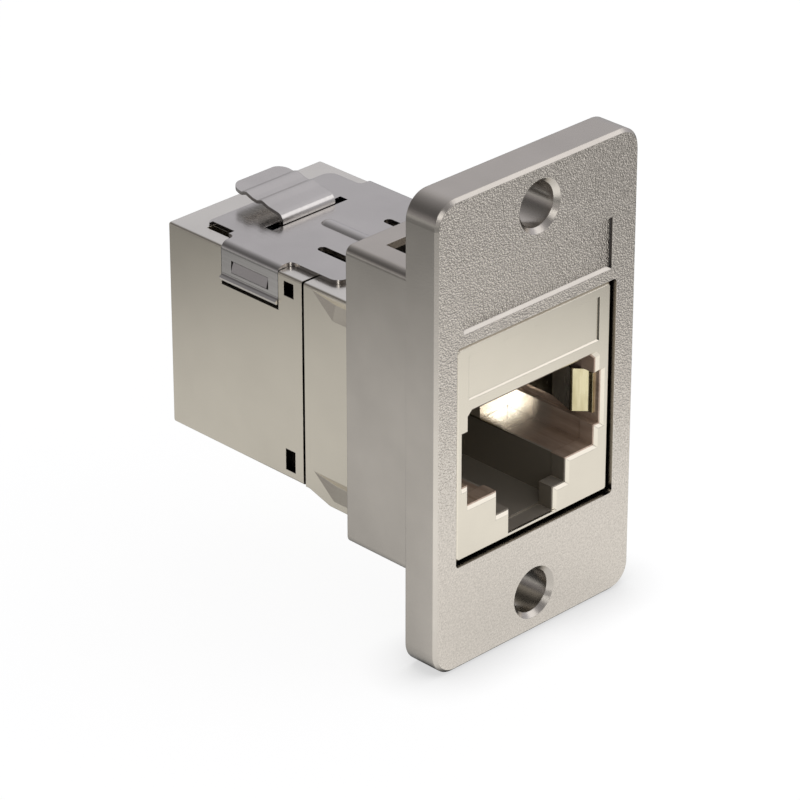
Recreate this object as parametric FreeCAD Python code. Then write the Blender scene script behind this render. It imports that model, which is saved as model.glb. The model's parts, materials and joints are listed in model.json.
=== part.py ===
import FreeCAD, Part
import math
import os

from FreeCAD import Vector

# Driving dimensions in millimetres. X is to the right seen from the front, Y to the rear, Z up.
# The origin is the middle of the plate's back face, halfway between the two screw holes.

# Panel frame: plate, window and collar in one casting
PLATE_THICKNESS = 2.8
PLATE_SIDE_LEDGE = 0.33
PLATE_PAST_SCREW = 3.0
PLATE_CORNER_RADIUS = 1.8
PLATE_FRONT_BEVEL = 0.24
SCREW_PITCH = 29.0
SCREW_HOLE_DIAMETER = 3.2
SCREW_HOLE_CHAMFER = 0.35
PLATE_LABEL_WIDTH = 14.1
PLATE_LABEL_HEIGHT = 3.85
PLATE_LABEL_ABOVE_WINDOW = 0.85
PLATE_LABEL_DEPTH = 0.22
COLLAR_DEPTH = 5.9
COLLAR_SIDE_WALL = 1.65
COLLAR_FLOOR_WALL = 0.65
COLLAR_ROOF_WALL = 1.2
COLLAR_EDGE_RADIUS = 0.6
LATCH_ROOM = 3.95
ROOF_WINDOW_WIDTH = 14.4
ROOF_WINDOW_LENGTH = 4.2

# Jack: face in the plate's window, then the body of the front and rear housings
FACE_WIDTH = 14.8
FACE_HEIGHT = 15.95
FACE_BELOW_CENTRE = 9.45
FACE_RECESS = 0.25
FACE_CORNER_RADIUS = 0.35
FACE_BEVEL = 0.2
FACE_LABEL_WIDTH = 12.5
FACE_LABEL_HEIGHT = 3.3
FACE_LABEL_ABOVE_SOCKET = 1.0
FACE_LABEL_DEPTH = 0.12
FACE_SIDE_GAP = 0.2
FACE_BOTTOM_GAP = 0.2
FACE_TOP_GAP = 0.22
WINDOW_CORNER_RADIUS = 0.3
BODY_SIDE_INSET = 0.13
BODY_ABOVE_FACE_BOTTOM = 0.2
BODY_BELOW_FACE_TOP = 0.2
BODY_EDGE_RADIUS = 0.2
BODY_SIDE_GAP = 0.3
FRONT_LENGTH = 12.1
REAR_LENGTH = 13.5
SEAM_BEVEL = 0.08
SEAM_GAP = 0.15
SEAM_DEPTH = 0.45

# Fixed lug under the front housing, with a ramp behind
LUG_DROP = 0.6
LUG_RAMP_FROM_SEAM = 0.45
LUG_RAMP_LENGTH = 2.0

# Tapered corner grooves in the sides of the front housing
GROOVE_FROM_SEAM = 0.9
GROOVE_STEEP_LENGTH = 1.95
GROOVE_HEIGHT = 1.65
GROOVE_VALLEY_BELOW_TOP = 0.6
GROOVE_KNEE_DEPTH = 0.3
GROOVE_DEPTH = 0.6
LOWER_GROOVE_ABOVE_BODY = 1.53
UPPER_GROOVE_BELOW_BODY = 0.22

# Socket: plug opening with a stepped keyway below and a slot for a shield spring at each side
SOCKET_WIDTH = 12.15
SOCKET_HEIGHT = 6.93
SOCKET_CORNER = 0.4
SOCKET_CHAMFER = 0.27
SOCKET_FACE_WALL = 1.45
SOCKET_UNDERCUT = 0.12
SOCKET_DEPTH = 8.4
SOCKET_END_WALL = 1.2
SOCKET_END_OPENING = 6.9
KEYWAY_WIDTH = 6.62
KEYWAY_DROP = 1.8
NOTCH_WIDTH = 4.2
NOTCH_DROP = 1.75
NOTCH_ABOVE_FACE_BOTTOM = 0.37
NOTCH_UNDERCUT = 0.1
KEYWAY_LENGTH = 10.0
SPRING_SLOT_DEPTH = 0.55
SPRING_SLOT_HEIGHT = 3.95
SPRING_SLOT_BELOW_TOP = 1.5
REAR_SOCKET_LIFT = 0.5

# Contact blocks and circuit board
BLOCK_BELOW_BODY_TOP = 1.5
BLOCK_SIDE_GAP = 0.05
BOARD_THICKNESS = 1.0
BOARD_EDGE_GAP = 0.1
BOARD_HOLE_DIAMETER = 0.7

# Contact wires, eight in each socket
CONTACT_COUNT = 8
CONTACT_PITCH = 1.02
CONTACT_WIDTH = 0.45
CONTACT_THICKNESS = 0.3
CONTACT_BEND = 0.4
CONTACT_NOSE_DEPTH = 3.0
CONTACT_TIP_DEPTH = 7.4
CONTACT_TIP_DROP = 2.1
CONTACT_SLOT_WIDTH = 0.6
CONTACT_SLOT_LEAD = 1.0
FRONT_RUN_BELOW_BLOCK = 0.5
REAR_RUN_BELOW_BLOCK = 2.1

# Shield springs
SPRING_THICKNESS = 0.15
SPRING_HEIGHT = 3.25
SPRING_TOP_GAP = 0.1
SPRING_BEND = 0.25
SPRING_FRONT_DEPTH = 0.7
SPRING_RAMP_DEPTH = 1.1
SPRING_CREST_DEPTH = 1.95
SPRING_HEEL_DEPTH = 4.4
SPRING_END_DEPTH = 7.8
SPRING_REACH = 0.35

# Snap tongues of the front housing and their windows in the rear housing
SNAP_LENGTH = 2.4
SNAP_THICKNESS = 0.4
SNAP_INSET = 0.6
SNAP_GAP = 0.05
SNAP_WINDOW_FROM_SEAM = 0.93
SNAP_WINDOW_LENGTH = 0.97
SNAP_WINDOW_RECESS = 0.5
UPPER_SNAP_BELOW_BODY = 0.5
UPPER_SNAP_HEIGHT = 1.1
LOWER_SNAP_ABOVE_BODY = 0.6
LOWER_SNAP_HEIGHT = 1.63

# Top cover of folded sheet steel
SHEET_THICKNESS = 0.3
COVER_SIDE_INSET = 1.27
COVER_BEFORE_SEAM = 2.1
COVER_BEHIND_SEAM = 11.15
COVER_CORNER_RADIUS = 0.8
SLIT_WIDTH = 0.7
SLIT_OFFSET = 2.8
SLIT_BEHIND_SEAM = 2.35
BEAD_WIDTH = 1.1
BEAD_HEIGHT = 0.25
BEAD_START_BEHIND_SEAM = 0.5
BEAD_LENGTH = 4.5
TAB_FROM_SEAM = 2.48
TAB_LENGTH = 5.6
TAB_DROP = 2.4
TAB_BEND = 0.4
TAB_INNER_RADIUS = 0.4
TAB_LIP = 0.35
TAB_LIP_RISE = 0.2
TAB_GAP = 0.05
TAB_RECESS_BELOW_LIP = 0.5
TAB_WINDOW_MARGIN = 0.95
TAB_WINDOW_HEIGHT = 0.92
TAB_WINDOW_ABOVE_LIP = 0.66
CATCH_GAP = 0.1
CATCH_REACH = 0.1
CATCH_LEAD = 0.12
COVER_GROOVE_WIDTH = 0.55
COVER_GROOVE_LENGTH = 2.2
COVER_GROOVE_FROM_TAB = 0.6
COVER_GROOVE_INSET = 0.25
COVER_GROOVE_DEPTH = 1.0

# Latch arm of the cover, up into the collar's roof window
ARM_BEND_BEFORE_SEAM = 2.0
ARM_RISE = 3.4
ARM_FLAT = 1.6
ARM_HOOK_RISE = 1.4
ARM_BEND = 0.5
ARM_POCKET_DEPTH = 0.7
ARM_POCKET_GAP = 0.1

# Thumb tongue of the latch
TONGUE_WIDTH = 4.95
TONGUE_THICKNESS = 0.25
TONGUE_BEHIND_SEAM = 7.1
TONGUE_RISE = 0.75
TONGUE_FLAT = 1.4
TONGUE_RIDGES = 2
TONGUE_RIDGE_PITCH = 1.6
TONGUE_RIDGE_HEIGHT = 0.13
TONGUE_RIDGE_FRONT = 0.65
TONGUE_RIDGE_BACK = 0.45
TONGUE_RIDGE_STEP = 0.1
TONGUE_TAIL = 1.2
TONGUE_TILT = 8.5
TONGUE_CORNER_RADIUS = 1.0
TONGUE_NOSE_BEND = 0.55
TONGUE_TOE_BEND = 0.3
TONGUE_RIDGE_BEND = 0.3
TONGUE_TOE = 1.7
TONGUE_SLOT_WIDTH = 7.2
TONGUE_SLOT_FRONT_GAP = 0.08
TONGUE_SLOT_LENGTH = 0.75
TONGUE_POCKET_GAP = 0.15
TONGUE_POCKET_DEPTH = 0.6

# Levels and places worked out from the driving dimensions
FACE_Y = FACE_RECESS - PLATE_THICKNESS
SEAM_Y = FRONT_LENGTH
REAR_Y = SEAM_Y + REAR_LENGTH
FACE_BOTTOM = -FACE_BELOW_CENTRE
FACE_TOP = FACE_BOTTOM + FACE_HEIGHT
BODY_BOTTOM = FACE_BOTTOM + BODY_ABOVE_FACE_BOTTOM
BODY_TOP = FACE_TOP - BODY_BELOW_FACE_TOP
BODY_WIDTH = FACE_WIDTH - 2 * BODY_SIDE_INSET
BODY_SIDE = BODY_WIDTH / 2
LUG_BOTTOM = BODY_BOTTOM - LUG_DROP
COVER_WIDTH = BODY_WIDTH - 2 * COVER_SIDE_INSET
COVER_TOP = BODY_TOP + SHEET_THICKNESS
COVER_MIDDLE = BODY_TOP + SHEET_THICKNESS / 2
COLLAR_CEILING = COVER_TOP + LATCH_ROOM
COLLAR_SIDE = BODY_SIDE + BODY_SIDE_GAP + COLLAR_SIDE_WALL
PLATE_WIDTH = 2 * (COLLAR_SIDE + PLATE_SIDE_LEDGE)
PLATE_HEIGHT = SCREW_PITCH + 2 * PLATE_PAST_SCREW
WINDOW_TOP = FACE_TOP + FACE_TOP_GAP
WINDOW_BOTTOM = FACE_BOTTOM - FACE_BOTTOM_GAP
NOTCH_BOTTOM = FACE_BOTTOM + NOTCH_ABOVE_FACE_BOTTOM
KEYWAY_BOTTOM = NOTCH_BOTTOM + NOTCH_DROP
SOCKET_BOTTOM = KEYWAY_BOTTOM + KEYWAY_DROP
SOCKET_TOP = SOCKET_BOTTOM + SOCKET_HEIGHT
SOCKET_SIDE = SOCKET_WIDTH / 2
SPRING_SLOT_TOP = SOCKET_TOP - SPRING_SLOT_BELOW_TOP
SPRING_SLOT_BOTTOM = SPRING_SLOT_TOP - SPRING_SLOT_HEIGHT
SPRING_SLOT_SIDE = SOCKET_SIDE + SPRING_SLOT_DEPTH
CAVITY_SIDE = SOCKET_SIDE + SOCKET_UNDERCUT
CAVITY_FLOOR = SOCKET_BOTTOM - SOCKET_UNDERCUT
CAVITY_TOP = BODY_TOP - BLOCK_BELOW_BODY_TOP
FRONT_SOCKET_LENGTH = SEAM_Y - FACE_Y
REAR_SOCKET_LENGTH = REAR_LENGTH
TAB_FRONT = SEAM_Y + TAB_FROM_SEAM
TAB_REAR = TAB_FRONT + TAB_LENGTH
TAB_BOTTOM = BODY_TOP - TAB_DROP
TONGUE_NOSE_Y = SEAM_Y + TONGUE_BEHIND_SEAM
FRONT_RUN = CAVITY_TOP - FRONT_RUN_BELOW_BLOCK
REAR_RUN = CAVITY_TOP - REAR_RUN_BELOW_BLOCK
PAST = 1.0


def block(x0, x1, y0, y1, z0, z1):
    """A box between two opposite corners."""
    return Part.makeBox(x1 - x0, y1 - y0, z1 - z0, Vector(x0, y0, z0))


def closed(points):
    """A closed outline through the points."""
    return Part.makePolygon(points + points[:1])


def prism(points, along):
    """A flat outline of points in space, drawn out along a vector."""
    return Part.Face(closed(points)).extrude(along)


def mirrored(shape):
    """The same shape on the other side of the jack's middle plane."""
    return shape.mirror(Vector(0, 0, 0), Vector(1, 0, 0))


def both_sides(shapes):
    """The shapes together with their mirror images."""
    return shapes + [mirrored(shape) for shape in shapes]


def edges_along(shape, axis, test):
    """Straight edges parallel to an axis whose middle passes a test."""
    found = []
    for edge in shape.Edges:
        if edge.Curve.TypeId != "Part::GeomLine":
            continue
        if abs(abs(edge.tangentAt(edge.FirstParameter).dot(axis)) - 1) < 1e-6 and test(edge.CenterOfMass):
            found.append(edge)
    return found


def edges_in_plane(shape, y):
    """Every edge that lies in the plane at this Y."""
    return [e for e in shape.Edges if abs(e.BoundBox.YMin - y) < 1e-6 and abs(e.BoundBox.YMax - y) < 1e-6]


def rounded_plate(width, y0, y1, z0, z1, radius):
    """An upright plate, centred on X, with round corners."""
    plate = block(-width / 2, width / 2, y0, y1, z0, z1)
    return plate.makeFillet(radius, edges_along(plate, Vector(0, 1, 0), lambda middle: True))


def bent_outline(points, bends, thickness, place):
    """The outline of a sheet or wire along a centre line, with a round bend at each inner point."""
    half = thickness / 2
    path = [Vector(a, b, 0) for a, b in points]
    runs = [(q - p).normalize() for p, q in zip(path, path[1:])]
    lefts = [Vector(-run.y, run.x, 0) for run in runs]

    def side(sign):
        edges = []
        last = path[0] + lefts[0] * (half * sign)
        for i, bend in enumerate(bends):
            turn = 1 if runs[i].cross(runs[i + 1]).z > 0 else -1
            reach = bend * math.tan(runs[i].getAngle(runs[i + 1]) / 2)
            centre = path[i + 1] - runs[i] * reach + lefts[i] * (bend * turn)
            radius = bend - half * sign * turn
            start = centre - lefts[i] * (radius * turn)
            end = centre - lefts[i + 1] * (radius * turn)
            middle = centre + (path[i + 1] - centre).normalize() * radius
            edges.append(Part.makeLine(place(last), place(start)))
            edges.append(Part.Arc(place(start), place(middle), place(end)).toShape())
            last = end
        finish = path[-1] + lefts[-1] * (half * sign)
        edges.append(Part.makeLine(place(last), place(finish)))
        return edges

    caps = []
    for point, left in ((path[0], lefts[0]), (path[-1], lefts[-1])):
        caps.append(Part.makeLine(place(point + left * half), place(point - left * half)))
    edges = Part.__sortEdges__(side(1) + side(-1) + caps)
    return Part.Face(Part.Wire(edges))


def sheet_across(points, bends, thickness, x0, x1):
    """A sheet whose centre line is given in Y and Z, drawn out along X."""
    face = bent_outline(points, bends, thickness, lambda p: Vector(x0, p.x, p.y))
    return face.extrude(Vector(x1 - x0, 0, 0))


def sheet_lengthwise(points, bends, thickness, y0, y1):
    """A sheet whose centre line is given in X and Z, drawn out along Y."""
    face = bent_outline(points, bends, thickness, lambda p: Vector(p.x, y0, p.y))
    return face.extrude(Vector(0, y1 - y0, 0))


def sheet_upright(points, bends, thickness, z0, z1):
    """A sheet whose centre line is given in X and Y, drawn out along Z."""
    face = bent_outline(points, bends, thickness, lambda p: Vector(p.x, p.y, z0))
    return face.extrude(Vector(0, 0, z1 - z0))


def at_front(shape):
    """Puts a socket piece, drawn with its depth along Y, behind the front face."""
    return shape.translated(Vector(0, FACE_Y, 0))


def at_rear(shape):
    """Puts a socket piece, drawn with its depth along Y, in front of the rear face."""
    turned = shape.mirror(Vector(0, 0, 0), Vector(0, 1, 0))
    return turned.translated(Vector(0, REAR_Y, REAR_SOCKET_LIFT))


# Panel frame

def mounting_frame():
    """Plate with two screw holes, a window for the jack's face and a collar behind."""
    half_height = PLATE_HEIGHT / 2
    plate = rounded_plate(PLATE_WIDTH, -PLATE_THICKNESS, 0, -half_height, half_height, PLATE_CORNER_RADIUS)
    plate = plate.makeChamfer(PLATE_FRONT_BEVEL, edges_in_plane(plate, -PLATE_THICKNESS))
    frame = plate.fuse(collar())
    window_width = FACE_WIDTH + 2 * FACE_SIDE_GAP
    front = -PLATE_THICKNESS - PAST
    window = rounded_plate(window_width, front, PAST, WINDOW_BOTTOM, WINDOW_TOP, WINDOW_CORNER_RADIUS)
    cuts = [window, plate_label()]
    cuts += [screw_hole(side * SCREW_PITCH / 2) for side in (-1, 1)]
    return frame.cut(cuts).removeSplitter()


def collar():
    """Box behind the plate, open to the rear, with a window in its roof for the latch."""
    roof = COLLAR_CEILING + COLLAR_ROOF_WALL
    base = LUG_BOTTOM - COLLAR_FLOOR_WALL
    outer = rounded_plate(2 * COLLAR_SIDE, 0, COLLAR_DEPTH, base, roof, COLLAR_EDGE_RADIUS)
    inner_side = BODY_SIDE + BODY_SIDE_GAP
    room = block(-inner_side, inner_side, 0, COLLAR_DEPTH + PAST, LUG_BOTTOM, COLLAR_CEILING)
    half = ROOF_WINDOW_WIDTH / 2
    window = block(-half, half, 0, ROOF_WINDOW_LENGTH, COLLAR_CEILING - PAST, roof + PAST)
    return outer.cut([room, window])


def screw_hole(z):
    """Through hole with a chamfered mouth."""
    radius = SCREW_HOLE_DIAMETER / 2
    forward = Vector(0, 1, 0)
    mouth = Vector(0, -PLATE_THICKNESS, z)
    hole = Part.makeCylinder(radius, PLATE_THICKNESS + 2 * PAST, mouth - forward * PAST, forward)
    cone = Part.makeCone(radius + SCREW_HOLE_CHAMFER, radius, SCREW_HOLE_CHAMFER, mouth, forward)
    return hole.fuse(cone)


def plate_label():
    """Shallow field above the window."""
    bottom = WINDOW_TOP + PLATE_LABEL_ABOVE_WINDOW
    return label_field(-PLATE_THICKNESS, PLATE_LABEL_WIDTH, bottom, PLATE_LABEL_HEIGHT, PLATE_LABEL_DEPTH)


def label_field(front, width, bottom, height, depth):
    """Shallow field in a front face, with a sloping lower edge."""
    half = width / 2
    back = front + depth
    section = [
        Vector(-half, front - PAST, bottom - PAST),
        Vector(-half, back, bottom + depth),
        Vector(-half, back, bottom + height),
        Vector(-half, front - PAST, bottom + height),
    ]
    return prism(section, Vector(width, 0, 0))


# Socket

def socket_outline(grow, y):
    """The stepped opening as a closed wire at one depth, made larger all round by grow."""
    side = SOCKET_SIDE + grow
    slot = SPRING_SLOT_SIDE + grow
    key = KEYWAY_WIDTH / 2 + grow
    notch = NOTCH_WIDTH / 2 + grow
    top = SOCKET_TOP + grow
    bottom = SOCKET_BOTTOM - grow
    right = [
        (side - SOCKET_CORNER, top),
        (side, top - SOCKET_CORNER),
        (side, SPRING_SLOT_TOP + grow),
        (slot, SPRING_SLOT_TOP + grow),
        (slot, SPRING_SLOT_BOTTOM - grow),
        (side, SPRING_SLOT_BOTTOM - grow),
        (side, bottom),
        (key, bottom),
        (key, KEYWAY_BOTTOM - grow),
        (notch, KEYWAY_BOTTOM - grow),
        (notch, NOTCH_BOTTOM),
    ]
    left = [(-x, z) for x, z in reversed(right)]
    return closed([Vector(x, y, z) for x, z in right + left])


def socket_cuts(length):
    """Everything that is hollow in a housing, drawn with its depth along Y from the face."""
    opening = Part.Face(socket_outline(0, -PAST)).extrude(Vector(0, PAST + SOCKET_FACE_WALL, 0))
    mouth = Part.makeLoft([socket_outline(SOCKET_CHAMFER, 0), socket_outline(0, SOCKET_CHAMFER)], True, True)
    side = CAVITY_SIDE
    hollow_end = length + PAST
    chamber_start = SOCKET_DEPTH + SOCKET_END_WALL
    cavity = block(-side, side, SOCKET_FACE_WALL, SOCKET_DEPTH, CAVITY_FLOOR, CAVITY_TOP)
    block_room = block(-side, side, SOCKET_FACE_WALL, hollow_end, SOCKET_TOP, CAVITY_TOP)
    chamber = block(-side, side, chamber_start, hollow_end, CAVITY_FLOOR, CAVITY_TOP)
    half_opening = SOCKET_END_OPENING / 2
    way_through = block(-half_opening, half_opening, SOCKET_FACE_WALL, hollow_end, CAVITY_FLOOR, CAVITY_TOP)
    key = KEYWAY_WIDTH / 2 + SOCKET_UNDERCUT
    floor = NOTCH_BOTTOM + NOTCH_UNDERCUT
    keyway = block(-key, key, SOCKET_FACE_WALL, KEYWAY_LENGTH, floor, CAVITY_FLOOR + PAST)
    slot = block(0, SPRING_SLOT_SIDE, 0, SPRING_END_DEPTH, SPRING_SLOT_BOTTOM, SPRING_SLOT_TOP)
    return [opening, mouth, cavity, block_room, chamber, way_through, keyway] + both_sides([slot])


# Housings

def front_housing():
    """Front half: face, socket, fixed lug, corner grooves and snap tongues."""
    face = rounded_plate(FACE_WIDTH, FACE_Y, PAST, FACE_BOTTOM, FACE_TOP, FACE_CORNER_RADIUS)
    face = face.makeChamfer(FACE_BEVEL, edges_in_plane(face, FACE_Y))
    ramp_end = SEAM_Y - LUG_RAMP_FROM_SEAM
    ramp_start = ramp_end - LUG_RAMP_LENGTH
    outline = [
        Vector(-BODY_SIDE, 0, BODY_TOP),
        Vector(-BODY_SIDE, SEAM_Y, BODY_TOP),
        Vector(-BODY_SIDE, SEAM_Y, BODY_BOTTOM),
        Vector(-BODY_SIDE, ramp_end, BODY_BOTTOM),
        Vector(-BODY_SIDE, ramp_start, LUG_BOTTOM),
        Vector(-BODY_SIDE, 0, LUG_BOTTOM),
    ]
    body = prism(outline, Vector(BODY_WIDTH, 0, 0))
    top_edges = edges_along(body, Vector(0, 1, 0), lambda middle: middle.z > BODY_TOP - 0.01)
    body = body.makeFillet(BODY_EDGE_RADIUS, top_edges)
    body = body.makeChamfer(SEAM_BEVEL, edges_in_plane(body, SEAM_Y))
    groove_tops = [BODY_TOP - UPPER_GROOVE_BELOW_BODY, BODY_BOTTOM + LOWER_GROOVE_ABOVE_BODY]
    grooves = both_sides([corner_groove(top) for top in groove_tops])
    cuts = [at_front(cut) for cut in socket_cuts(FRONT_SOCKET_LENGTH)]
    housing = face.fuse(body).cut(cuts + grooves + [face_label(), arm_pocket()])
    return housing.fuse(both_sides(snap_tongues())).removeSplitter()


def face_label():
    """Shallow field above the socket."""
    bottom = SOCKET_TOP + FACE_LABEL_ABOVE_SOCKET
    return label_field(FACE_Y, FACE_LABEL_WIDTH, bottom, FACE_LABEL_HEIGHT, FACE_LABEL_DEPTH)


def corner_groove(high):
    """Tapered groove in the left side that starts in a point near the seam and deepens towards the front."""
    tip = Vector(-BODY_SIDE, SEAM_Y - GROOVE_FROM_SEAM, high)
    knee = groove_section(tip.y - GROOVE_STEEP_LENGTH, high, GROOVE_KNEE_DEPTH)
    front = groove_section(0, high, GROOVE_DEPTH)
    straight = Part.makeLoft([closed(front), closed(knee)], True, True)
    return straight.fuse(pyramid(knee, tip))


def groove_section(y, high, depth):
    """Three corners of the groove at one place along the jack."""
    return [
        Vector(-BODY_SIDE, y, high),
        Vector(-BODY_SIDE + depth, y, high - GROOVE_VALLEY_BELOW_TOP),
        Vector(-BODY_SIDE, y, high - GROOVE_HEIGHT),
    ]


def pyramid(base, tip):
    """A solid between a three-cornered base and a tip."""
    a, b, c = base
    faces = []
    for corners in ([a, b, c], [a, b, tip], [b, c, tip], [c, a, tip]):
        faces.append(Part.Face(closed(corners)))
    solid = Part.Solid(Part.Shell(faces))
    if solid.Volume < 0:
        solid.reverse()
    return solid


def snap_levels():
    """Bottom and top of the upper and lower snap windows."""
    upper_top = BODY_TOP - UPPER_SNAP_BELOW_BODY
    lower_bottom = BODY_BOTTOM + LOWER_SNAP_ABOVE_BODY
    return [(upper_top - UPPER_SNAP_HEIGHT, upper_top), (lower_bottom, lower_bottom + LOWER_SNAP_HEIGHT)]


def snap_tongues():
    """Two tongues on the left of the seam, each with a peg for its window."""
    outer = -BODY_SIDE + SNAP_INSET
    inner = outer + SNAP_THICKNESS
    peg_front = SEAM_Y + SNAP_WINDOW_FROM_SEAM
    peg_rear = peg_front + SNAP_WINDOW_LENGTH - SNAP_GAP
    tongues = []
    for low, high in snap_levels():
        bar = block(outer, inner, SEAM_Y - PAST, SEAM_Y + SNAP_LENGTH, low + SNAP_GAP, high - SNAP_GAP)
        corners = [
            Vector(outer, peg_front, low + SNAP_GAP),
            Vector(-BODY_SIDE + SNAP_WINDOW_RECESS, peg_front, low + SNAP_GAP),
            Vector(outer, peg_rear, low + SNAP_GAP),
        ]
        peg = prism(corners, Vector(0, 0, high - low - 2 * SNAP_GAP))
        tongues.append(bar.fuse(peg))
    return tongues


def snap_cuts():
    """Channels and windows on the left of the rear housing for the snap tongues."""
    outer = -BODY_SIDE + SNAP_INSET - SNAP_GAP
    inner = -BODY_SIDE + SNAP_INSET + SNAP_THICKNESS + SNAP_GAP
    window_front = SEAM_Y + SNAP_WINDOW_FROM_SEAM
    window_rear = window_front + SNAP_WINDOW_LENGTH
    cuts = []
    for low, high in snap_levels():
        cuts.append(block(outer, inner, SEAM_Y - PAST, SEAM_Y + SNAP_LENGTH + SNAP_GAP, low, high))
        cuts.append(block(-BODY_SIDE - PAST, inner, window_front, window_rear, low, high))
    return cuts


def rear_housing():
    """Rear half: socket at the rear, recesses for the cover's tabs, and the tongue's pocket."""
    body = block(-BODY_SIDE, BODY_SIDE, SEAM_Y, REAR_Y, BODY_BOTTOM, BODY_TOP)
    rounded = edges_along(body, Vector(0, 1, 0), lambda middle: True) + edges_in_plane(body, REAR_Y)
    body = body.makeFillet(BODY_EDGE_RADIUS, rounded)
    body = body.makeChamfer(SEAM_BEVEL, edges_in_plane(body, SEAM_Y))
    cuts = [at_rear(cut) for cut in socket_cuts(REAR_SOCKET_LENGTH)]
    cuts += both_sides(snap_cuts() + [tab_recess(), tab_slot()])
    cuts += [tongue_pocket(), cover_groove(), arm_pocket(), seam_groove()]
    return body.cut(cuts).fuse(both_sides([tab_catch()])).removeSplitter()


def seam_groove():
    """Narrow groove all round where the two housings meet."""
    y1 = SEAM_Y + SEAM_GAP
    side = BODY_SIDE + PAST
    ring = block(-side, side, SEAM_Y, y1, BODY_BOTTOM - PAST, BODY_TOP + PAST)
    inner = BODY_SIDE - SEAM_DEPTH
    return ring.cut(block(-inner, inner, SEAM_Y, y1, BODY_BOTTOM + SEAM_DEPTH, BODY_TOP - SEAM_DEPTH))


def arm_pocket():
    """Room in the housings' top for the latch arm to bend down into."""
    half = SLIT_OFFSET + SLIT_WIDTH + ARM_POCKET_GAP
    y0 = SEAM_Y - COVER_BEFORE_SEAM - PAST
    y1 = SEAM_Y + SLIT_BEHIND_SEAM + SLIT_WIDTH / 2 + ARM_POCKET_GAP
    return block(-half, half, y0, y1, BODY_TOP - ARM_POCKET_DEPTH, BODY_TOP + PAST)


def tab_slot():
    """Slot through the left wall under the tab's lip."""
    low = TAB_BOTTOM - TAB_RECESS_BELOW_LIP
    return block(-BODY_SIDE - PAST, -CAVITY_SIDE, TAB_FRONT - TAB_GAP, TAB_REAR + TAB_GAP, low, TAB_BOTTOM)


def tab_recess():
    """Flat recess in the left side that the cover's tab lies in."""
    floor = -BODY_SIDE + SHEET_THICKNESS + TAB_GAP
    low = TAB_BOTTOM - TAB_RECESS_BELOW_LIP
    y0 = TAB_FRONT - TAB_GAP
    y1 = TAB_REAR + TAB_GAP
    flat = block(-BODY_SIDE - PAST, floor, y0, y1, low, BODY_TOP + PAST)
    relief = [
        Vector(floor, y0, BODY_TOP - TAB_BEND),
        Vector(floor + TAB_BEND, y0, BODY_TOP),
        Vector(floor, y0, BODY_TOP),
    ]
    return flat.fuse(prism(relief, Vector(0, y1 - y0, 0)))


def tab_window_levels():
    """Bottom and top of the window in the cover's tab."""
    low = TAB_BOTTOM + TAB_WINDOW_ABOVE_LIP
    return low, low + TAB_WINDOW_HEIGHT


def tab_catch():
    """Wedge on the recess's floor that the tab's window snaps over."""
    low, high = tab_window_levels()
    floor = -BODY_SIDE + SHEET_THICKNESS + TAB_GAP
    y0 = TAB_FRONT + TAB_WINDOW_MARGIN + CATCH_GAP
    y1 = TAB_REAR - TAB_WINDOW_MARGIN - CATCH_GAP
    corners = [
        Vector(floor + TAB_GAP, y0, low + CATCH_GAP),
        Vector(floor + TAB_GAP, y0, high - CATCH_GAP),
        Vector(-BODY_SIDE + CATCH_LEAD, y0, high - CATCH_GAP),
        Vector(-BODY_SIDE - CATCH_REACH, y0, low + CATCH_GAP),
    ]
    return prism(corners, Vector(0, y1 - y0, 0))


def tongue_pocket():
    """Room under the cover for the tongue's toe."""
    half = TONGUE_WIDTH / 2 + TONGUE_POCKET_GAP
    y0 = TONGUE_NOSE_Y - TONGUE_THICKNESS / 2 - TONGUE_POCKET_GAP
    y1 = TONGUE_NOSE_Y + TONGUE_TOE + TONGUE_POCKET_GAP
    return block(-half, half, y0, y1, BODY_TOP - TONGUE_POCKET_DEPTH, BODY_TOP + PAST)


def cover_groove():
    """Groove in the top and notch in the cover's left edge, behind the tab."""
    middle = -COVER_WIDTH / 2 + COVER_GROOVE_INSET
    y0 = TAB_REAR + COVER_GROOVE_FROM_TAB
    y1 = y0 + COVER_GROOVE_LENGTH
    half = COVER_GROOVE_WIDTH / 2
    return block(middle - half, middle + half, y0, y1, BODY_TOP - COVER_GROOVE_DEPTH, BODY_TOP + PAST)


# Socket insides

def contact_places():
    """The eight contact wires' middles across the socket."""
    first = -CONTACT_PITCH * (CONTACT_COUNT - 1) / 2
    return [first + CONTACT_PITCH * i for i in range(CONTACT_COUNT)]


def contact_block(length, run):
    """Insulator above the socket, with a slot for each contact wire."""
    side = CAVITY_SIDE - BLOCK_SIDE_GAP
    back = length - BOARD_THICKNESS / 2
    bar = block(-side, side, SOCKET_FACE_WALL, back, SOCKET_TOP, CAVITY_TOP)
    run_top = run + CONTACT_THICKNESS / 2
    run_bottom = run_top - 2 * CONTACT_THICKNESS
    half = CONTACT_SLOT_WIDTH / 2
    slot_start = CONTACT_NOSE_DEPTH - CONTACT_SLOT_LEAD
    cuts = []
    for x in contact_places():
        cuts.append(block(x - half, x + half, slot_start, SOCKET_DEPTH, SOCKET_TOP - PAST, run_top))
        cuts.append(block(x - half, x + half, SOCKET_DEPTH - PAST, back + PAST, run_bottom, run_top))
    return bar.cut(cuts)


def contact_wire(x, length, run):
    """Wire from the circuit board along the slot's roof, folded back down into the socket."""
    path = [
        (length + BOARD_THICKNESS / 2, run),
        (CONTACT_NOSE_DEPTH, run),
        (CONTACT_TIP_DEPTH, SOCKET_TOP - CONTACT_TIP_DROP),
    ]
    half = CONTACT_WIDTH / 2
    return sheet_across(path, [CONTACT_BEND], CONTACT_THICKNESS, x - half, x + half)


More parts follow.
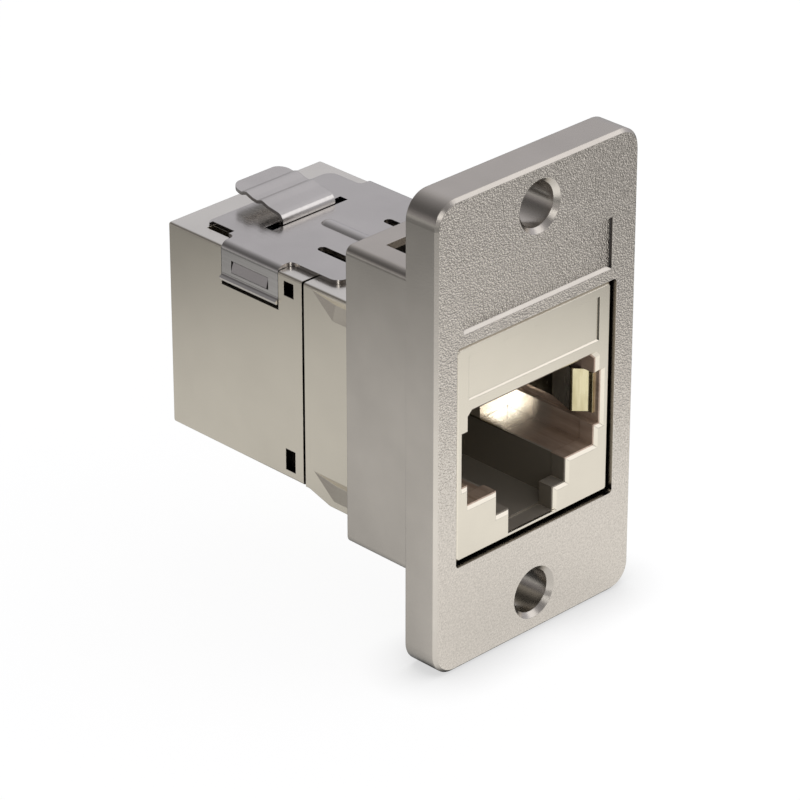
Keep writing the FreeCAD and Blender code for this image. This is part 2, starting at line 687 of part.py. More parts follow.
def circuit_board():
    """Board between the two contact blocks, with a hole for each contact wire."""
    side = CAVITY_SIDE - BOARD_EDGE_GAP
    y0 = SEAM_Y - BOARD_THICKNESS / 2
    low = CAVITY_FLOOR + REAR_SOCKET_LIFT + BOARD_EDGE_GAP
    board = block(-side, side, y0, y0 + BOARD_THICKNESS, low, CAVITY_TOP - BOARD_EDGE_GAP)
    radius = BOARD_HOLE_DIAMETER / 2
    holes = []
    for x in contact_places():
        for z in (FRONT_RUN, REAR_RUN + REAR_SOCKET_LIFT):
            start = Vector(x, y0 - PAST, z)
            holes.append(Part.makeCylinder(radius, BOARD_THICKNESS + 2 * PAST, start, Vector(0, 1, 0)))
    return board.cut(holes)


def shield_spring():
    """Bowed leaf in the right-hand slot, with its crest in the plug's way."""
    wall = SPRING_SLOT_SIDE - SPRING_THICKNESS / 2
    crest = SOCKET_SIDE - SPRING_REACH
    path = [
        (wall, SPRING_FRONT_DEPTH),
        (wall, SPRING_RAMP_DEPTH),
        (crest, SPRING_CREST_DEPTH),
        (wall, SPRING_HEEL_DEPTH),
        (wall, SPRING_END_DEPTH),
    ]
    top = SPRING_SLOT_TOP - SPRING_TOP_GAP
    return sheet_upright(path, [SPRING_BEND] * 3, SPRING_THICKNESS, top - SPRING_HEIGHT, top)


# Sheet-metal cover and tongue

def top_cover():
    """Flat top with two folded side tabs, two slits, a bead, the tongue's slot and the latch arm."""
    half = COVER_WIDTH / 2
    front = SEAM_Y - COVER_BEFORE_SEAM
    rear = SEAM_Y + COVER_BEHIND_SEAM
    flat = block(-half, half, front, rear, BODY_TOP, COVER_TOP)
    flat = flat.makeFillet(COVER_CORNER_RADIUS, edges_along(flat, Vector(0, 0, 1), lambda middle: True))
    flat = flat.fuse(both_sides([cover_tab()])).removeSplitter()
    inner = edges_along(flat, Vector(0, 0, 1), lambda m: abs(abs(m.x) - half) < 0.01)
    flat = flat.makeFillet(TAB_INNER_RADIUS, inner).fuse(bead(0))
    cuts = both_sides([slit()]) + [tongue_slot(), cover_groove(), arm_gap(), bead(SHEET_THICKNESS)]
    cover = flat.cut(cuts).fuse(latch_arm())
    return cover.removeSplitter()


def cover_tab():
    """Left tab: over the edge, down the side and out again in a small lip, with a window for the catch."""
    middle = -BODY_SIDE + SHEET_THICKNESS / 2
    path = [
        (-COVER_WIDTH / 2 + PAST, COVER_MIDDLE),
        (middle, COVER_MIDDLE),
        (middle, TAB_BOTTOM + TAB_LIP_RISE),
        (middle - TAB_LIP, TAB_BOTTOM),
    ]
    tab = sheet_lengthwise(path, [TAB_BEND, TAB_BEND], SHEET_THICKNESS, TAB_FRONT, TAB_REAR)
    low, high = tab_window_levels()
    y0 = TAB_FRONT + TAB_WINDOW_MARGIN
    y1 = TAB_REAR - TAB_WINDOW_MARGIN
    return tab.cut(block(-BODY_SIDE - PAST, -BODY_SIDE + PAST, y0, y1, low, high))


def slit():
    """Right-hand slit from the cover's front edge, with a round end."""
    end = SEAM_Y + SLIT_BEHIND_SEAM
    front = SEAM_Y - COVER_BEFORE_SEAM - PAST
    long_cut = block(SLIT_OFFSET, SLIT_OFFSET + SLIT_WIDTH, front, end, BODY_TOP - PAST, COVER_TOP + PAST)
    middle = Vector(SLIT_OFFSET + SLIT_WIDTH / 2, end, BODY_TOP - PAST)
    return long_cut.fuse(Part.makeCylinder(SLIT_WIDTH / 2, SHEET_THICKNESS + 2 * PAST, middle))


def bead(inward):
    """Round stiffening bead along the middle; with the sheet's thickness inward it is the hollow below."""
    radius = (BEAD_WIDTH ** 2 / 4 + BEAD_HEIGHT ** 2) / (2 * BEAD_HEIGHT)
    axis_z = COVER_TOP + BEAD_HEIGHT - radius
    y0 = SEAM_Y + BEAD_START_BEHIND_SEAM
    start = Vector(0, y0, axis_z)
    end = Vector(0, y0 + BEAD_LENGTH, axis_z)
    rod = Part.makeCylinder(radius - inward, BEAD_LENGTH, start, Vector(0, 1, 0))
    round_ends = [Part.makeSphere(radius - inward, start), Part.makeSphere(radius - inward, end)]
    above = block(-BEAD_WIDTH, BEAD_WIDTH, y0 - PAST, y0 + BEAD_LENGTH + PAST, BODY_TOP, COVER_TOP + PAST)
    return rod.fuse(round_ends).common(above)


def tongue_slot():
    """Slot across the cover that the tongue comes up through."""
    half = TONGUE_SLOT_WIDTH / 2
    y0 = TONGUE_NOSE_Y - TONGUE_THICKNESS / 2 - TONGUE_SLOT_FRONT_GAP
    return block(-half, half, y0, y0 + TONGUE_SLOT_LENGTH, BODY_TOP - PAST, COVER_TOP + PAST)


def arm_gap():
    """The part of the flat top that the latch arm takes the place of."""
    y0 = SEAM_Y - COVER_BEFORE_SEAM - PAST
    y1 = SEAM_Y - ARM_BEND_BEFORE_SEAM + ARM_BEND
    return block(-SLIT_OFFSET, SLIT_OFFSET, y0, y1, BODY_TOP - PAST, COVER_TOP + PAST)


def latch_arm():
    """Spring arm between the slits, up to the collar's roof, with a hook in front of the roof's bridge."""
    bend_y = SEAM_Y - ARM_BEND_BEFORE_SEAM
    hook_y = ROOF_WINDOW_LENGTH - SHEET_THICKNESS / 2
    top = COVER_MIDDLE + ARM_RISE
    path = [
        (bend_y + ARM_BEND, COVER_MIDDLE),
        (bend_y, COVER_MIDDLE),
        (hook_y + ARM_FLAT, top),
        (hook_y, top),
        (hook_y, top + ARM_HOOK_RISE),
    ]
    return sheet_across(path, [ARM_BEND] * 3, SHEET_THICKNESS, -SLIT_OFFSET, SLIT_OFFSET)


def latch_tongue():
    """Toe under the cover, nose up through its slot, then the ridged thumb piece to the rear."""
    toe = BODY_TOP - TONGUE_THICKNESS / 2
    level = COVER_TOP + TONGUE_RISE - TONGUE_THICKNESS / 2
    slope = math.tan(math.radians(TONGUE_TILT))

    def tilted(y, steps):
        return level + (y - TONGUE_NOSE_Y) * slope - steps * TONGUE_RIDGE_STEP

    path = [(TONGUE_NOSE_Y + TONGUE_TOE, toe), (TONGUE_NOSE_Y, toe), (TONGUE_NOSE_Y, level)]
    for i in range(TONGUE_RIDGES):
        foot = TONGUE_NOSE_Y + TONGUE_FLAT + i * TONGUE_RIDGE_PITCH
        crest = foot + TONGUE_RIDGE_FRONT
        end = crest + TONGUE_RIDGE_BACK
        path.append((foot, tilted(foot, i)))
        path.append((crest, tilted(crest, i) + TONGUE_RIDGE_HEIGHT))
        path.append((end, tilted(end, i + 1)))
    rear = path[-1][0] + TONGUE_TAIL
    path.append((rear, tilted(rear, TONGUE_RIDGES)))
    bends = [TONGUE_TOE_BEND, TONGUE_NOSE_BEND] + [TONGUE_RIDGE_BEND] * (3 * TONGUE_RIDGES)
    half = TONGUE_WIDTH / 2
    sheet = sheet_across(path, bends, TONGUE_THICKNESS, -half, half)
    plan = block(-half, half, TONGUE_NOSE_Y - PAST, rear, BODY_TOP - PAST, COVER_TOP + 2 * PAST)
    corners = edges_along(plan, Vector(0, 0, 1), lambda middle: middle.y > rear - 0.01)
    return sheet.common(plan.makeFillet(TONGUE_CORNER_RADIUS, corners))


def build():
    """Every piece by its name."""
    pieces = {
        "mounting_frame": mounting_frame(),
        "front_housing": front_housing(),
        "rear_housing": rear_housing(),
        "top_cover": top_cover(),
        "latch_tongue": latch_tongue(),
        "circuit_board": circuit_board(),
        "front_contact_block": at_front(contact_block(FRONT_SOCKET_LENGTH, FRONT_RUN)),
        "rear_contact_block": at_rear(contact_block(REAR_SOCKET_LENGTH, REAR_RUN)),
        "front_shield_spring_right": at_front(shield_spring()),
        "front_shield_spring_left": at_front(mirrored(shield_spring())),
        "rear_shield_spring_right": at_rear(shield_spring()),
        "rear_shield_spring_left": at_rear(mirrored(shield_spring())),
    }
    for number, x in enumerate(contact_places(), 1):
        front = contact_wire(x, FRONT_SOCKET_LENGTH, FRONT_RUN)
        rear = contact_wire(x, REAR_SOCKET_LENGTH, REAR_RUN)
        pieces[f"front_contact_{number}"] = at_front(front)
        pieces[f"rear_contact_{number}"] = at_rear(rear)
    return pieces


os.makedirs("parts", exist_ok=True)
for name, shape in build().items():
    solid = shape.Solids[0] if len(shape.Solids) == 1 else shape
    print(name, len(shape.Solids), shape.isValid(), round(shape.Volume, 2))
    solid.exportStep(f"parts/{name}.step")
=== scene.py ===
import json
import math

import bpy
from mathutils import Matrix, Vector


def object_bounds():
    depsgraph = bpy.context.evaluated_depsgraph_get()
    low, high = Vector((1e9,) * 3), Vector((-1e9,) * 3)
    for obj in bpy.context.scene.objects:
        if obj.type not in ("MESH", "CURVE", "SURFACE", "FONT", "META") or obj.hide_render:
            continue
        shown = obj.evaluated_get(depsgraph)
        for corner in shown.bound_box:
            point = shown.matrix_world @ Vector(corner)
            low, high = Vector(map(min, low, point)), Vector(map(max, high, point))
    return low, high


MM = 0.001

# Camera, at the photograph's angle and framing
CAMERA_YAW = -44.68
CAMERA_PITCH = 27.56
CAMERA_DISTANCE = 297.26 * MM
CAMERA_RIGHT = -2.94 * MM
CAMERA_UP = -2.65 * MM
CAMERA_LENS = 197.1
AIM = Vector((0, 6 * MM, 0))

# Painted pools of light in the floor's glow, which only the metal's reflections see: middle, two radii and
# the levels at them
FLOOR_LEVEL = 0.2
POOLS = (
    ((0, 5 * MM), (38 * MM, 82 * MM), (0.46, 0.0)),
    ((-3 * MM, -38 * MM), (28 * MM, 60 * MM), (0.37, 0.0)),
    ((-45 * MM, -38 * MM), (30 * MM, 60 * MM), (0.22, 0.0)),
    ((0, 5 * MM), (120 * MM, 300 * MM), (0.0, 0.35)),
)
# Reaches of the painted shadow that the metal mirrors and of the painted contact shadow
SHADOW_REACH = 25 * MM
CONTACT_REACH = 4 * MM
FLOOR_REACH = 3.0
FLOOR_GREY = (0.85, 0.85, 0.85, 1)

# Share of the painted shadow that the metal mirrors in front of the plate, from far to near
FRONT_SHADOW_AT = (-10 * MM, -3 * MM)
FRONT_SHADOW = (0.67, 0.2)

# Room around the jack, from left to right
ROOM = (
    (0.0, (0.08, 0.075, 0.08)),
    (0.27, (0.15, 0.147, 0.15)),
    (0.5, (0.31, 0.305, 0.32)),
    (0.81, (0.61, 0.605, 0.64)),
    (1.0, (0.72, 0.72, 0.79)),
)
ROOM_LIFT = 0.8
LIFT_FROM = 0.46
HORIZON_HEIGHTS = (0.08, 0.35)
HORIZON_LEVEL = 2.2

# Lamps: name, direction from the jack, distance, size and how bright the face is
LAMPS = (
    ("key", (0.62, -0.55, 0.55), 0.4, 0.22, 0.7),
    ("fill", (-0.55, -0.68, 0.49), 0.5, 0.26, 1.1),
    ("small", (-0.62, -0.63, 0.465), 0.6, 0.07, 6),
)

# Colours of the surfaces; pairs with a place are the ends of a blend
PLATE_SIDES = (0.58, 0.54, 0.485)
PLATE_FACE = (0.665, 0.615, 0.55)
# Jack sides, and a lighter top that is painted light
JACK_SIDES = (0.75, 0.695, 0.59)
JACK_TOP_PAINTED_LIGHT = (0.84, 0.81, 0.75)
WORN_PLATING = ((0.3, (0.46, 0.34, 0.26)), (0.7, (0.72, 0.56, 0.44)))
# Painted highlight on the plug stops deep in the sockets
PLUG_STOP_HIGHLIGHT = (0.9, 0.87, 0.8, 1)
# Keyway walls darker than the keyway floor: painted shade
KEYWAY_WALL_SHADE = (0.26, 0.23, 0.18, 1)
KEYWAY_FLOOR = (0.5, 0.45, 0.38)
CATCH = (0.5, 0.47, 0.46, 1)
SHEET = (0.62, 0.595, 0.57)
# Painted shade on the sheet's sheared edges
SHEARED_EDGE_SHADE = (0.5, 0.47, 0.45, 1)
GOLD = ((0.35, (0.47, 0.41, 0.24)), (0.65, (0.7, 0.63, 0.41)))
# Painted shade on the rear of the side springs
SPRING_BACK_SHADE = (0.06, 0.05, 0.035, 1)
PLASTIC = ((0.3, (0.03, 0.027, 0.024)), (0.7, (0.045, 0.04, 0.035)))
LACQUER = ((0.3, (0.03, 0.14, 0.06)), (0.7, (0.05, 0.2, 0.09)))

# Painted shade: dark colours put where shade falls
ROOF_PAINTED_SHADE = (0.03, 0.028, 0.026, 1)
WINDOW_PAINTED_SHADE = (0.03, 0.027, 0.022, 1)
SLOT_PAINTED_SHADE = (0.02, 0.02, 0.02, 1)
PLATE_LABEL_EDGE_SHADE = (0.1, 0.095, 0.09, 1)
FACE_LABEL_EDGE_SHADE = (0.17, 0.16, 0.14, 1)

# Which faces look to the front or up, by the share of the normal along the axis
FRONT_FACING = (-0.75, -0.9)
UP_FACING = (0.8, 0.95)

# Blasted grain on the plate's front, coarser towards the top
PLATE_FRONT = -2.4 * MM
GRAIN_SCALE = 7800
GRAIN_DEPTH = 0.11 * MM
GRAIN_TINT = (0.88, 1.12)
GRAIN_HEIGHTS = (-10 * MM, 14 * MM)
GRAIN_STRENGTH = (0.4, 1.0)
SMOOTH_STRENGTH = 0.03

# Rounding that catches light on edges
PLATE_EDGE = 0.07 * MM
JACK_EDGE = 0.05 * MM
SHEET_EDGE = 0.04 * MM
PLASTIC_EDGE = 0.08 * MM

# Boxes in mm, the same on both sides of the jack
SOCKETS = ((0, -2.35, -9.2), (6.7, 25.4, 1.95))
SNAP_WINDOWS = (
    ((6.0, 12.9, 4.6), (7.2, 14.1, 5.9)),
    ((6.0, 12.9, -8.8), (7.2, 14.1, -6.9)),
)
CATCHES = ((6.9, 15.4, 4.5), (7.5, 19.2, 5.6))
KEYWAYS = ((0, -2.35, -9.3), (3.6, 25.4, -5.6))
PLUG_STOPS = ((3.3, -2.0, -5.75), (6.6, 25.0, -1.0))
# Where painted shade darkens the rear of the side springs
SPRING_BACK_SHADE_BOXES = ((5.2, -0.5, -5.5), (7.2, 23.4, 1.5))
TONGUE_SLOT = ((2.2, 18.3, 5.0), (4.4, 20.6, 6.56))
ROOF_SHADE = ((0, 3.9, 10.5), (7.3, 4.3, 11.2))
PLATE_LABEL_ENDS = ((6.98, -2.78, 7.65), (7.12, -2.5, 11.35))
FACE_LABEL_ENDS = ((6.2, -2.54, 2.45), (6.3, -2.4, 5.65))
MIDDLE = 11.5 * MM
# Depths over which the painted highlight on the plug stops grows towards the socket's end
STOP_HIGHLIGHT_DEPTHS = (10 * MM, 6.5 * MM)
SHEARED_EDGES = (6.28 * MM, 6.62 * MM)

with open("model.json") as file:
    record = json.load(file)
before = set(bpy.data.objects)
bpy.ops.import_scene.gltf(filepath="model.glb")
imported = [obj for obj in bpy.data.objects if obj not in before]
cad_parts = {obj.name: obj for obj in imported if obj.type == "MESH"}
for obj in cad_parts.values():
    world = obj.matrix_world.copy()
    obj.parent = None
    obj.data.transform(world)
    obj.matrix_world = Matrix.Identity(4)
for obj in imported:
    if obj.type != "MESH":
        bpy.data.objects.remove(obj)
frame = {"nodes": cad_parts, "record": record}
cad_box = [list(corner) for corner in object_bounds()]


class Finish:
    """A node tree under construction, with short ways to add nodes and join them."""

    def __init__(self, owner):
        owner.use_nodes = True
        self.tree = owner.node_tree

    def node(self, kind, inputs=None, **settings):
        made = self.tree.nodes.new(kind)
        for key, value in settings.items():
            setattr(made, key, value)
        for key, value in (inputs or {}).items():
            self.feed(made.inputs[key], value)
        return made

    def feed(self, socket, value):
        if isinstance(value, bpy.types.NodeSocket):
            self.tree.links.new(value, socket)
        else:
            socket.default_value = value

    def math(self, operation, a, b=0.0):
        return self.node("ShaderNodeMath", {0: a, 1: b}, operation=operation).outputs[0]

    def span(self, value, low, high, to_low=0.0, to_high=1.0, smooth=False):
        kind = "SMOOTHSTEP" if smooth else "LINEAR"
        sockets = {"Value": value, "From Min": low, "From Max": high, "To Min": to_low, "To Max": to_high}
        return self.node("ShaderNodeMapRange", sockets, interpolation_type=kind).outputs["Result"]

    def place(self):
        return self.node("ShaderNodeTexCoord").outputs["Object"]

    def stretched(self, vector, scale):
        return self.node("ShaderNodeMapping", {"Vector": vector, "Scale": scale}).outputs["Vector"]

    def noise(self, vector, scale, detail=2.0, rough=0.5):
        sockets = {"Vector": vector, "Scale": scale, "Detail": detail, "Roughness": rough}
        return self.node("ShaderNodeTexNoise", sockets).outputs["Fac"]

    def shades(self, value, *stops):
        ramp = self.node("ShaderNodeValToRGB", {"Fac": value})
        points = ramp.color_ramp.elements
        while len(points) < len(stops):
            points.new(0.5)
        for point, (place, colour) in zip(points, stops):
            point.position = place
            point.color = (*colour, 1)
        return ramp.outputs["Color"]

    def soft_edge(self, radius):
        return self.node("ShaderNodeBevel", {"Radius": radius}, samples=6).outputs["Normal"]

    def openness(self, reach):
        """1 on open surfaces, towards 0 deep in a gap."""
        return self.node("ShaderNodeAmbientOcclusion", {"Distance": reach}, samples=8).outputs["AO"]

    def blend(self, share, first, second):
        mix = self.node("ShaderNodeMix", {0: share}, data_type="RGBA")
        self.feed(mix.inputs[6], first)
        self.feed(mix.inputs[7], second)
        return mix.outputs[2]

    def axes(self, vector):
        return self.node("ShaderNodeSeparateXYZ", {0: vector}).outputs

    def bump(self, height, strength, distance, normal):
        sockets = {"Height": height, "Strength": strength, "Distance": distance, "Normal": normal}
        return self.node("ShaderNodeBump", sockets).outputs["Normal"]


def surface(name):
    """A new material and its shader."""
    material = bpy.data.materials.new(name)
    finish = Finish(material)
    return material, finish, finish.tree.nodes["Principled BSDF"]


def tinted(colour, share):
    """A colour made lighter or darker by a share."""
    return (*(min(1.0, channel * share) for channel in colour), 1)


def facing(finish, axis, low, high):
    """1 on faces that look along an axis, 0 on the others."""
    normal = finish.node("ShaderNodeTexCoord").outputs["Normal"]
    return finish.span(finish.axes(normal)[axis], low, high)


def within(finish, place, box):
    """1 inside a box and its mirror image on the other side of the jack."""
    where = finish.axes(place)
    share = 1.0
    for axis, low, high in zip("XYZ", *box):
        value = where[axis]
        if axis == "X":
            value = finish.math("ABSOLUTE", value)
        above = finish.math("GREATER_THAN", value, low * MM)
        below = finish.math("LESS_THAN", value, high * MM)
        share = finish.math("MULTIPLY", share, finish.math("MULTIPLY", above, below))
    return share


def clouded(finish, base, cloud, low=0.95, high=1.04):
    """A base colour with clouds or specks, faint unless told otherwise."""
    return finish.blend(finish.span(cloud, 0.3, 0.7), tinted(base, low), tinted(base, high))


def painted_gap_shade(finish, colour, reach, floor_share):
    """A colour darkened by painted shade in narrow gaps."""
    share = finish.span(finish.openness(reach), 0.25, 0.75, floor_share, 1.0)
    sockets = {0: colour, "Scale": share}
    return finish.node("ShaderNodeVectorMath", sockets, operation="SCALE").outputs["Vector"]


def blasted_nickel():
    """Casting with a fine sparkling grain on its front and smooth satin sides, with painted shade near
    gaps and the floor, in the roof window and on the label field's ends.
    """
    material, f, shader = surface("blasted_nickel")
    place = f.place()
    where = f.axes(place)
    on_plate = f.math("LESS_THAN", where["Y"], PLATE_FRONT)
    front = f.math("MULTIPLY", facing(f, "Y", *FRONT_FACING), on_plate)
    grain = f.noise(place, GRAIN_SCALE, 1)
    cloud = f.noise(place, 260, 3, 0.5)
    sides = clouded(f, PLATE_SIDES, cloud)
    face = clouded(f, PLATE_FACE, grain, *GRAIN_TINT)
    # Painted shade darkens the sides near the floor and in gaps
    colour = f.blend(front, painted_gap_shade(f, sides, 2 * MM, 0.3), face)
    # Painted shade in the lower part of the roof window
    colour = f.blend(within(f, place, ROOF_SHADE), colour, ROOF_PAINTED_SHADE)
    # Painted shade on the label field's end walls
    colour = f.blend(within(f, place, PLATE_LABEL_ENDS), colour, PLATE_LABEL_EDGE_SHADE)
    f.feed(shader.inputs["Base Color"], colour)
    f.feed(shader.inputs["Roughness"], f.span(front, 0, 1, 0.25, 0.27))
    coarse = f.span(where["Z"], *GRAIN_HEIGHTS, *GRAIN_STRENGTH)
    strength = f.math("MULTIPLY", f.span(front, 0, 1, SMOOTH_STRENGTH, 1.0), coarse)
    f.feed(shader.inputs["Normal"], f.bump(grain, strength, GRAIN_DEPTH, f.soft_edge(PLATE_EDGE)))
    shader.inputs["Metallic"].default_value = 1.0
    return material


def satin_nickel():
    """Smooth plated casting, thinly plated inside the sockets, with painted light on top, painted shade in
    gaps, windows, the tongue slot and on the keyway walls, and a painted highlight on the plug stops.
    """
    material, f, shader = surface("satin_nickel")
    place = f.place()
    cloud = f.noise(place, 180, 4, 0.55)
    pores = f.noise(place, 7000, 2, 0.6)
    upward = facing(f, "Z", *UP_FACING)
    # Painted light: faces that look up take the lighter top colour
    sides = clouded(f, JACK_SIDES, cloud)
    top = clouded(f, JACK_TOP_PAINTED_LIGHT, cloud)
    # Painted shade darkens narrow gaps on the outside
    outside = painted_gap_shade(f, f.blend(upward, sides, top), 0.35 * MM, 0.15)
    depth = f.math("ABSOLUTE", f.math("SUBTRACT", f.axes(place)["Y"], MIDDLE))
    # Painted highlight on the plug stops, growing towards the socket's end
    stops = f.math("MULTIPLY", within(f, place, PLUG_STOPS), f.span(depth, *STOP_HIGHLIGHT_DEPTHS))
    streaks = f.noise(f.stretched(place, (1, 0.15, 1)), 1500, 3, 0.6)
    worn = f.shades(streaks, *WORN_PLATING)
    inside = f.blend(stops, worn, PLUG_STOP_HIGHLIGHT)
    # Painted shade: the keyway walls are darker than its floor
    keyway = f.blend(upward, KEYWAY_WALL_SHADE, clouded(f, KEYWAY_FLOOR, cloud))
    inside = f.blend(within(f, place, KEYWAYS), inside, keyway)
    in_socket = within(f, place, SOCKETS)
    colour = f.blend(in_socket, outside, inside)
    # Painted shade in the snap windows
    for box in SNAP_WINDOWS:
        colour = f.blend(within(f, place, box), colour, WINDOW_PAINTED_SHADE)
    # Painted shade on the face label's end walls
    colour = f.blend(within(f, place, FACE_LABEL_ENDS), colour, FACE_LABEL_EDGE_SHADE)
    # Painted shade blackens the tongue slot
    colour = f.blend(within(f, place, TONGUE_SLOT), colour, SLOT_PAINTED_SHADE)
    colour = f.blend(within(f, place, CATCHES), colour, CATCH)
    f.feed(shader.inputs["Base Color"], colour)
    satin = f.span(cloud, 0.3, 0.7, 0.22, 0.27)
    f.feed(shader.inputs["Roughness"], f.math("MULTIPLY", satin, f.span(stops, 0, 1, 1.0, 0.65)))
    f.feed(shader.inputs["Normal"], f.bump(pores, 0.06, 0.03 * MM, f.soft_edge(JACK_EDGE)))
    thin = f.math("MULTIPLY", in_socket, f.math("SUBTRACT", 1.0, stops))
    f.feed(shader.inputs["Metallic"], f.span(thin, 0, 1, 1.0, 0.4))
    return material


def sheet_steel():
    """Rolled stainless sheet with fine lines along the jack, painted shade in gaps and the tongue slot,
    and painted shade on its sheared edges.
    """
    material, f, shader = surface("sheet_steel")
    place = f.place()
    lines = f.noise(f.stretched(place, (1, 0.04, 1)), 5000, 3, 0.6)
    cloud = f.noise(place, 200, 3, 0.5)
    # Painted shade darkens narrow gaps
    rolled = painted_gap_shade(f, clouded(f, SHEET, cloud), 0.4 * MM, 0.3)
    height = f.axes(place)["Z"]
    above = f.math("GREATER_THAN", height, SHEARED_EDGES[0])
    below = f.math("LESS_THAN", height, SHEARED_EDGES[1])
    upright = f.math("SUBTRACT", 1.0, facing(f, "Z", 0.1, 0.4))
    sheared = f.math("MULTIPLY", f.math("MULTIPLY", above, below), upright)
    # Painted shade on the sheared edges
    colour = f.blend(sheared, rolled, SHEARED_EDGE_SHADE)
    # Painted shade blackens the tongue slot
    colour = f.blend(within(f, place, TONGUE_SLOT), colour, SLOT_PAINTED_SHADE)
    f.feed(shader.inputs["Base Color"], colour)
    f.feed(shader.inputs["Roughness"], f.span(lines, 0.3, 0.7, 0.18, 0.26))
    f.feed(shader.inputs["Normal"], f.bump(lines, 0.1, 0.04 * MM, f.soft_edge(SHEET_EDGE)))
    shader.inputs["Metallic"].default_value = 1.0
    return material


def gilt():
    """Thin gold plate on spring metal, with painted shade on the springs' rear."""
    material, f, shader = surface("gilt")
    place = f.place()
    cloud = f.noise(f.stretched(place, (1, 1, 0.2)), 1800, 2, 0.5)
    colour = f.shades(cloud, *GOLD)
    # Painted shade on the rear of the side springs
    colour = f.blend(within(f, place, SPRING_BACK_SHADE_BOXES), colour, SPRING_BACK_SHADE)
    f.feed(shader.inputs["Base Color"], colour)
    f.feed(shader.inputs["Roughness"], f.span(cloud, 0.3, 0.7, 0.2, 0.3))
    f.feed(shader.inputs["Normal"], f.soft_edge(SHEET_EDGE))
    shader.inputs["Metallic"].default_value = 1.0
    return material


def insulator():
    """Dark moulded plastic with a fine matt texture."""
    material, f, shader = surface("insulator")
    place = f.place()
    cloud = f.noise(place, 900, 3, 0.5)
    grain = f.noise(place, 12000, 2, 0.5)
    f.feed(shader.inputs["Base Color"], f.shades(cloud, *PLASTIC))
    f.feed(shader.inputs["Roughness"], f.span(cloud, 0.3, 0.7, 0.42, 0.52))
    f.feed(shader.inputs["Normal"], f.bump(grain, 0.15, 0.02 * MM, f.soft_edge(PLASTIC_EDGE)))
    return material


def board():
    """Lacquered circuit board with a faint weave."""
    material, f, shader = surface("board")
    place = f.place()
    weave = f.noise(place, 2500, 2, 0.5)
    f.feed(shader.inputs["Base Color"], f.shades(weave, *LACQUER))
    f.feed(shader.inputs["Roughness"], f.span(weave, 0.3, 0.7, 0.3, 0.4))
    return material


def dress():
    """Gives every CAD node the material of its slot."""
    makers = (blasted_nickel, satin_nickel, sheet_steel, gilt, insulator, board)
    made = {maker.__name__: maker() for maker in makers}
    for part in frame["record"]["subparts"]:
        mesh = frame["nodes"][part["node"]].data
        mesh.materials.clear()
        mesh.materials.append(made[part["material_slot"]])


def floor():
    """White floor whose matt share keeps a real soft shadow; its glow adds a painted contact shadow for
    the camera and, for the metal's reflections, painted pools of light and painted shadow.
    """
    level = cad_box[0][2]
    mesh = bpy.data.meshes.new("floor")
    reach = FLOOR_REACH
    outline = ((-reach, -reach), (reach, -reach), (reach, reach), (-reach, reach))
    corners = [(x, y, level) for x, y in outline]
    mesh.from_pydata(corners, [], [(0, 1, 2, 3)])
    sheet = bpy.data.objects.new("floor", mesh)
    bpy.context.scene.collection.objects.link(sheet)
    material = bpy.data.materials.new("floor")
    mesh.materials.append(material)
    f = Finish(material)
    nodes = f.tree.nodes
    nodes.remove(nodes["Principled BSDF"])
    light = f.node("ShaderNodeLightPath").outputs
    where = f.node("ShaderNodeNewGeometry").outputs["Position"]
    pool = FLOOR_LEVEL
    for (x, y), radii, levels in POOLS:
        middle = (x, y, level)
        away = f.node("ShaderNodeVectorMath", {0: where, 1: middle}, operation="DISTANCE").outputs["Value"]
        pool = f.math("ADD", f.span(away, *radii, *levels, smooth=True), pool)
    # Painted shadow in the floor's glow where the jack hides it, full behind the plate and partly in front
    dark = f.span(f.openness(SHADOW_REACH), 0.25, 0.9, 0.97, 0.0)
    along = f.axes(where)["Y"]
    before = f.span(along, *FRONT_SHADOW_AT, *FRONT_SHADOW)
    depth = f.math("MAXIMUM", before, f.math("GREATER_THAN", along, cad_box[0][1]))
    pool_with_painted_shadow = f.math("MULTIPLY", pool, f.math("SUBTRACT", 1.0, f.math("MULTIPLY", dark, depth)))
    # Painted contact shadow in the glow that the camera sees
    glow_with_contact_shadow = f.span(f.openness(CONTACT_REACH), 0.4, 1.0, 0.85, 1.22)
    mirrored = f.math("MAXIMUM", light["Is Glossy Ray"], light["Is Transmission Ray"])
    seen = light["Is Camera Ray"]
    strength = f.math("ADD", f.math("MULTIPLY", mirrored, pool_with_painted_shadow), f.math("MULTIPLY", seen, glow_with_contact_shadow))
    share = f.math("ADD", mirrored, f.math("MULTIPLY", seen, 0.75))
    glow = f.node("ShaderNodeEmission", {"Strength": strength})
    matt = f.node("ShaderNodeBsdfDiffuse", {"Color": FLOOR_GREY})
    both = f.node("ShaderNodeMixShader", {0: share, 1: matt.outputs[0], 2: glow.outputs[0]})
    f.feed(nodes["Material Output"].inputs["Surface"], both.outputs[0])


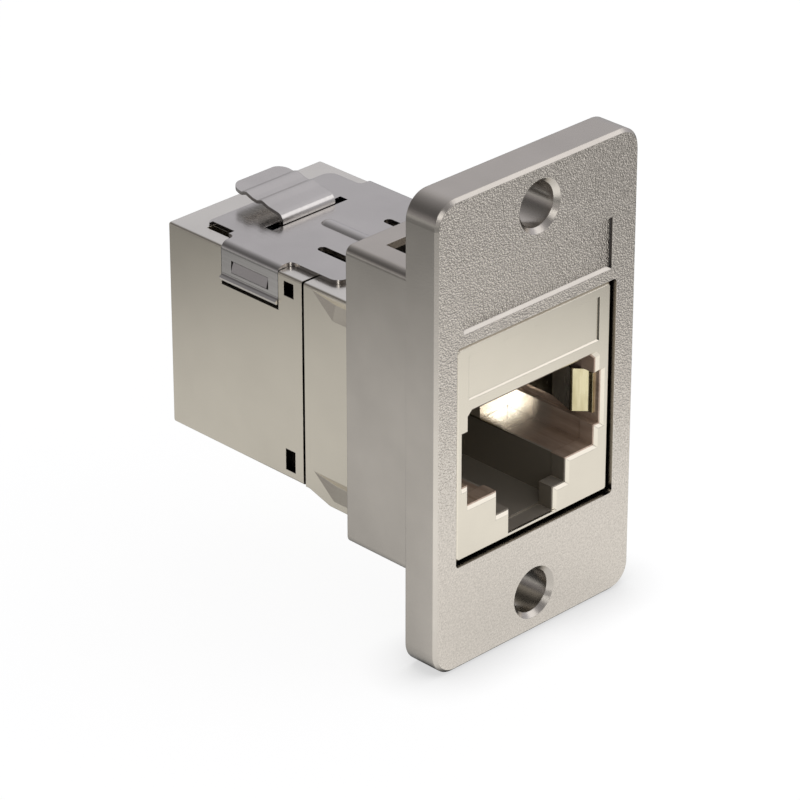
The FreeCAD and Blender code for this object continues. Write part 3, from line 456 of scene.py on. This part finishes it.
def surroundings():
    """White behind the object; around it a soft room, darker on the left, with a bright left horizon."""
    world = bpy.data.worlds.new("studio")
    bpy.context.scene.world = world
    f = Finish(world)
    seen = f.node("ShaderNodeLightPath").outputs["Is Camera Ray"]
    where = f.axes(f.node("ShaderNodeTexCoord").outputs["Generated"])
    room = f.shades(f.span(where["X"], -1.0, 1.0), *ROOM)
    rising = f.math("MULTIPLY", f.span(where["X"], 0.0, 1.0), f.math("SUBTRACT", where["Z"], LIFT_FROM))
    lift = f.math("ADD", f.math("MULTIPLY", rising, ROOM_LIFT), 1.0)
    low = f.span(where["Z"], *HORIZON_HEIGHTS, HORIZON_LEVEL, 0.0)
    horizon = f.math("MULTIPLY", low, f.span(where["X"], 0.0, -0.6))
    level = f.math("ADD", lift, horizon)
    lit = f.node("ShaderNodeVectorMath", {0: room, "Scale": level}, operation="SCALE").outputs["Vector"]
    f.feed(f.tree.nodes["Background"].inputs["Color"], f.blend(seen, lit, (1, 1, 1, 1)))


def softbox(name, direction, distance, size, level):
    """A square lamp that looks at the object; level is how bright its face is."""
    lamp = bpy.data.lights.new(name, "AREA")
    lamp.size = size
    lamp.energy = level * math.pi * size * size
    spot = bpy.data.objects.new(name, lamp)
    away = Vector(direction).normalized()
    spot.location = AIM + away * distance
    spot.rotation_mode = "QUATERNION"
    spot.rotation_quaternion = away.to_track_quat("Z", "Y")
    bpy.context.scene.collection.objects.link(spot)


def lights():
    """Soft lamps at the right and beside the camera, and a small one that looks into the socket."""
    for lamp in LAMPS:
        softbox(*lamp)


def camera():
    """Camera without shift, turned by yaw and pitch about the jack."""
    yaw, pitch = math.radians(CAMERA_YAW), math.radians(CAMERA_PITCH)
    back = Vector((math.sin(yaw) * math.cos(pitch), -math.cos(yaw) * math.cos(pitch), math.sin(pitch)))
    right = Vector((math.cos(yaw), math.sin(yaw), 0))
    up = back.cross(right)
    data = bpy.data.cameras.new("camera")
    data.sensor_width = 36
    data.lens = CAMERA_LENS
    data.clip_start = 0.01
    eye = bpy.data.objects.new("camera", data)
    turn = Matrix((right, up, back)).transposed().to_4x4()
    at = AIM + back * CAMERA_DISTANCE + right * CAMERA_RIGHT + up * CAMERA_UP
    eye.matrix_world = Matrix.Translation(at) @ turn
    bpy.context.scene.collection.objects.link(eye)
    bpy.context.scene.camera = eye


dress()
floor()
surroundings()
lights()
camera()
bpy.context.scene.view_settings.view_transform = "Standard"
